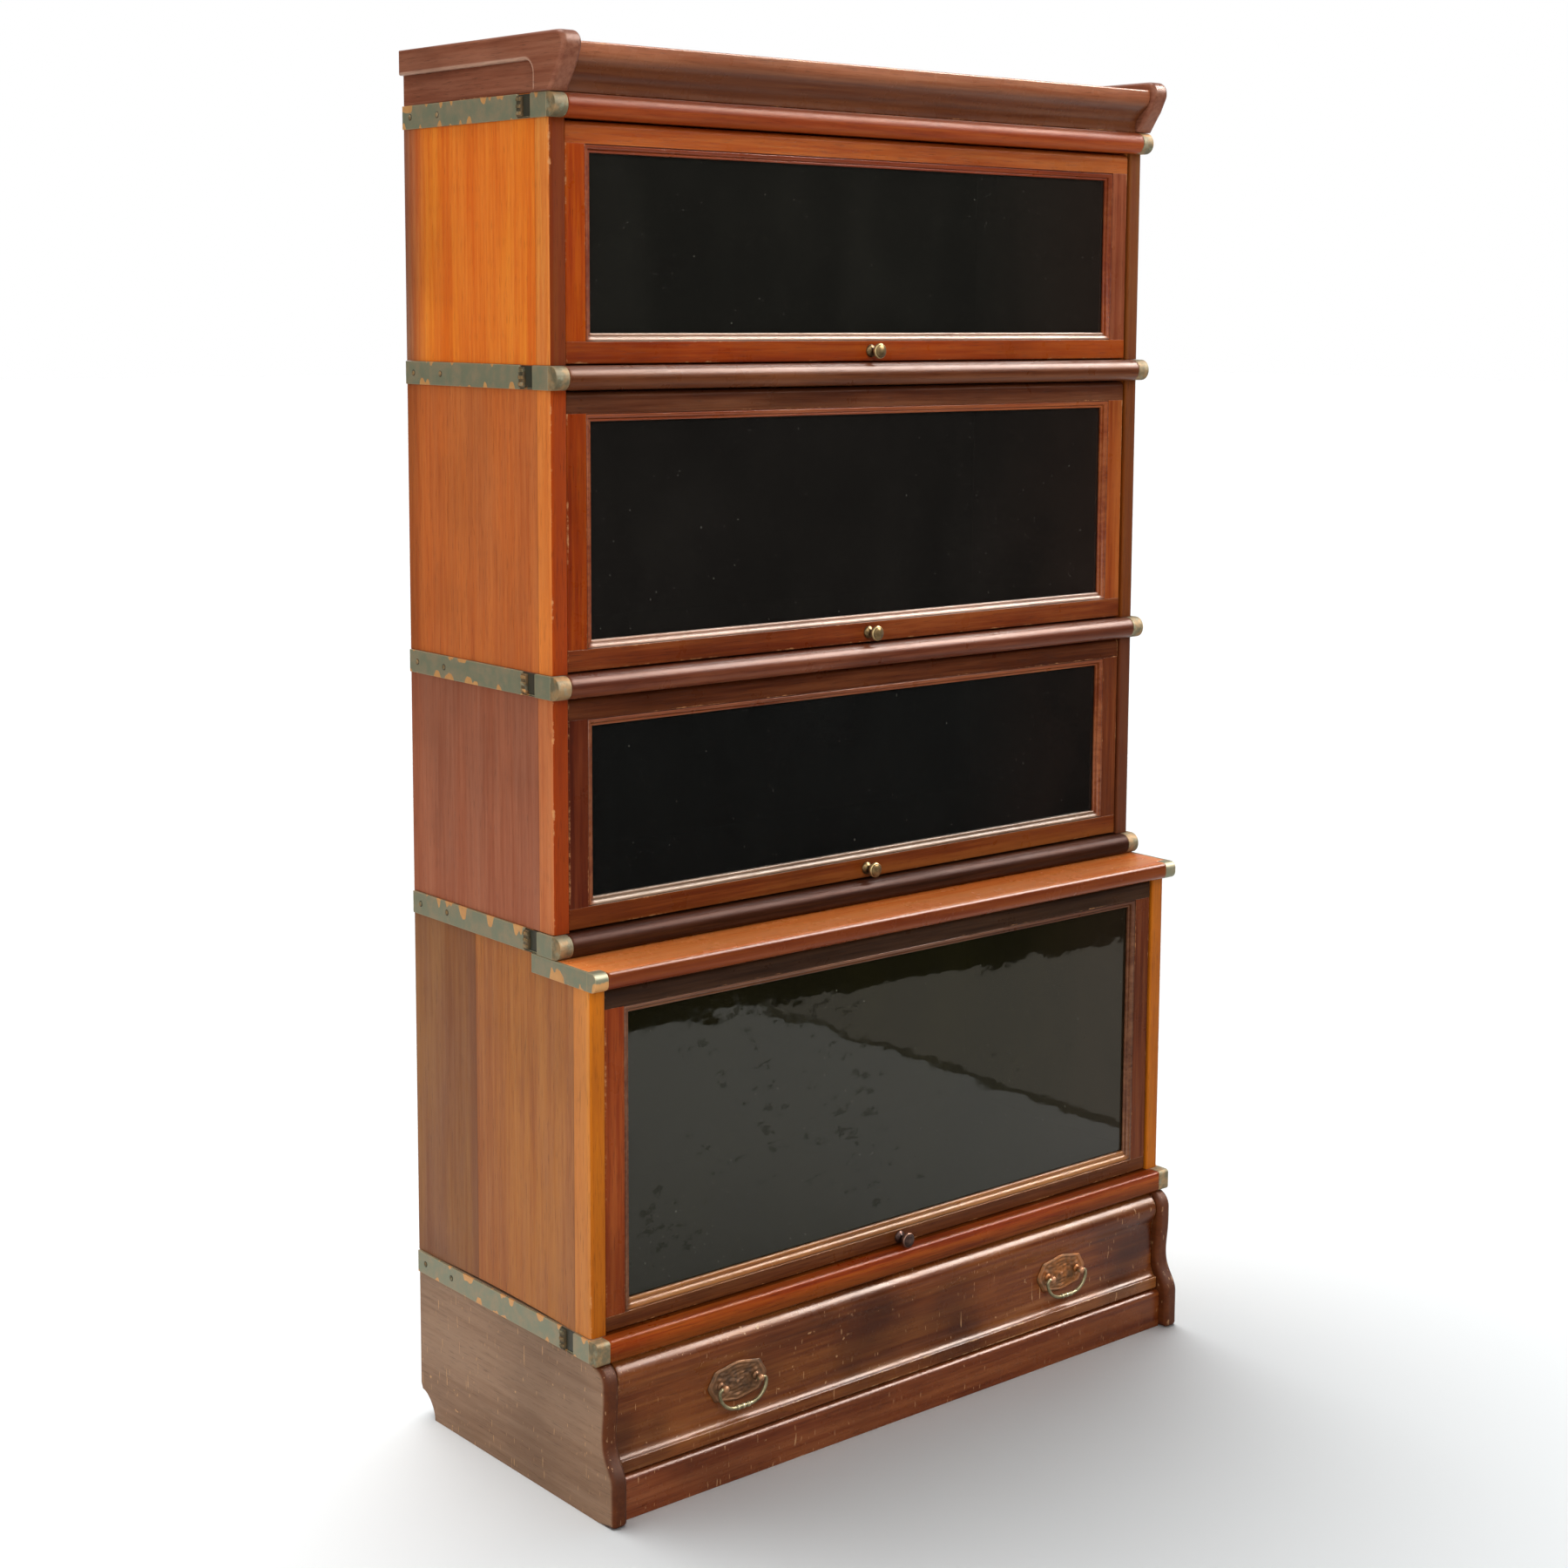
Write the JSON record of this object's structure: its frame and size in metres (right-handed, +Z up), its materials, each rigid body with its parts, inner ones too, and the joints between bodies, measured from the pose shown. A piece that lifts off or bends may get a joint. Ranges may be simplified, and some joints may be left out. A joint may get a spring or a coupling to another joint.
{
  "type": "sectional bookcase with glass doors",
  "caption": "Stepped wooden sectional bookcase with up-and-over glazed doors, metal joint bands, a drawer base with bail handles and a moulded cornice",
  "frame": {"origin": "on the floor, in the middle of the width and of the depth", "axes": "+Z up, the doors and the drawer face -Y, +X to the right seen from the front"},
  "size_m": [0.87, 0.374, 1.52],
  "materials": {
    "orange_mahogany": "old varnish over orange mahogany",
    "red_mahogany": "red-brown polished mahogany",
    "dark_mahogany": "dark polished mahogany",
    "plain_wood": "plain unpolished wood",
    "base_brown": "dull brown varnish",
    "patina": "grey-green patina worn to tan at the edges",
    "aged_brass": "aged brass",
    "copper_plate": "copper-brown stamped metal",
    "rod_steel": "plain drawn rod",
    "glass": "clear old sheet glass"
  },
  "bodies": {
    "cabinet": {"section_1_end_left": "orange_mahogany", "section_1_end_right": "orange_mahogany", "section_1_band_left": "patina", "section_1_band_right": "patina", "section_1_nosing": "red_mahogany", "section_1_shelf": "plain_wood", "section_1_back": "plain_wood", "section_2_end_left": "orange_mahogany", "section_2_end_right": "orange_mahogany", "section_2_band_left": "patina", "section_2_band_right": "patina", "section_2_nosing": "red_mahogany", "section_2_shelf": "plain_wood", "section_2_back": "plain_wood", "section_3_end_left": "orange_mahogany", "section_3_end_right": "orange_mahogany", "section_3_band_left": "patina", "section_3_band_right": "patina", "section_3_nosing": "red_mahogany", "section_3_shelf": "plain_wood", "section_3_back": "plain_wood", "section_4_end_left": "orange_mahogany", "section_4_end_right": "orange_mahogany", "section_4_band_left": "patina", "section_4_band_right": "patina", "section_4_nosing": "red_mahogany", "section_4_shelf": "plain_wood", "section_4_back": "plain_wood", "base_end_left": "base_brown", "base_end_right": "base_brown", "base_band_left": "patina", "base_band_right": "patina", "base_nosing": "red_mahogany", "base_toe_rail": "dark_mahogany", "base_back": "plain_wood", "cornice_end_left": "dark_mahogany", "cornice_end_right": "dark_mahogany", "cornice_frame": "dark_mahogany"},
    "carriage_1": {"section_1_pivot_rod": "rod_steel"},
    "door_1": {"section_1_door_frame": "red_mahogany", "section_1_glass": "glass", "section_1_knob": "aged_brass"},
    "carriage_2": {"section_2_pivot_rod": "rod_steel"},
    "door_2": {"section_2_door_frame": "red_mahogany", "section_2_glass": "glass", "section_2_knob": "aged_brass"},
    "carriage_3": {"section_3_pivot_rod": "rod_steel"},
    "door_3": {"section_3_door_frame": "red_mahogany", "section_3_glass": "glass", "section_3_knob": "aged_brass"},
    "carriage_4": {"section_4_pivot_rod": "rod_steel"},
    "door_4": {"section_4_door_frame": "red_mahogany", "section_4_glass": "glass", "section_4_knob": "aged_brass"},
    "drawer": {"drawer_front": "dark_mahogany", "drawer_box": "plain_wood", "handle_plate_left": "copper_plate", "handle_plate_right": "copper_plate"},
    "bail_left": {"handle_bail_left": "aged_brass"},
    "bail_right": {"handle_bail_right": "aged_brass"}
  },
  "joints": [
    {"name": "door_1_recede", "type": "slide", "parent": "cabinet", "child": "carriage_1", "axis": [0, 1, 0], "range_m": [0, 0.17955]},
    {"name": "door_1_lift", "type": "hinge", "parent": "carriage_1", "child": "door_1", "pos_m": [0, -0.074, 1.4233], "axis": [-1, 0, 0], "range_deg": [0, 90]},
    {"name": "door_2_recede", "type": "slide", "parent": "cabinet", "child": "carriage_2", "axis": [0, 1, 0], "range_m": [0, 0.22355]},
    {"name": "door_2_lift", "type": "hinge", "parent": "carriage_2", "child": "door_2", "pos_m": [0, -0.074, 1.1533], "axis": [-1, 0, 0], "range_deg": [0, 90]},
    {"name": "door_3_recede", "type": "slide", "parent": "cabinet", "child": "carriage_3", "axis": [0, 1, 0], "range_m": [0, 0.17955]},
    {"name": "door_3_lift", "type": "hinge", "parent": "carriage_3", "child": "door_3", "pos_m": [0, -0.074, 0.8393], "axis": [-1, 0, 0], "range_deg": [0, 90]},
    {"name": "door_4_recede", "type": "slide", "parent": "cabinet", "child": "carriage_4", "axis": [0, 1, 0], "range_m": [0, 0.301]},
    {"name": "door_4_lift", "type": "hinge", "parent": "carriage_4", "child": "door_4", "pos_m": [0, -0.136, 0.549], "axis": [-1, 0, 0], "range_deg": [0, 90]},
    {"name": "drawer_slide", "type": "slide", "parent": "cabinet", "child": "drawer", "axis": [0, -1, 0], "range_m": [0, 0.24]},
    {"name": "bail_left_swing", "type": "hinge", "parent": "drawer", "child": "bail_left", "pos_m": [-0.247, -0.1727, 0.105], "axis": [-1, 0, 0], "range_deg": [0, 80]},
    {"name": "bail_right_swing", "type": "hinge", "parent": "drawer", "child": "bail_right", "pos_m": [0.247, -0.1727, 0.105], "axis": [-1, 0, 0], "range_deg": [0, 80]}
  ],
  "couplings": [
    {"joint": "door_1_recede", "follows": "door_1_lift", "m_per_rad": 0.1143},
    {"joint": "door_2_recede", "follows": "door_2_lift", "m_per_rad": 0.14231},
    {"joint": "door_3_recede", "follows": "door_3_lift", "m_per_rad": 0.1143},
    {"joint": "door_4_recede", "follows": "door_4_lift", "m_per_rad": 0.19162}
  ]
}
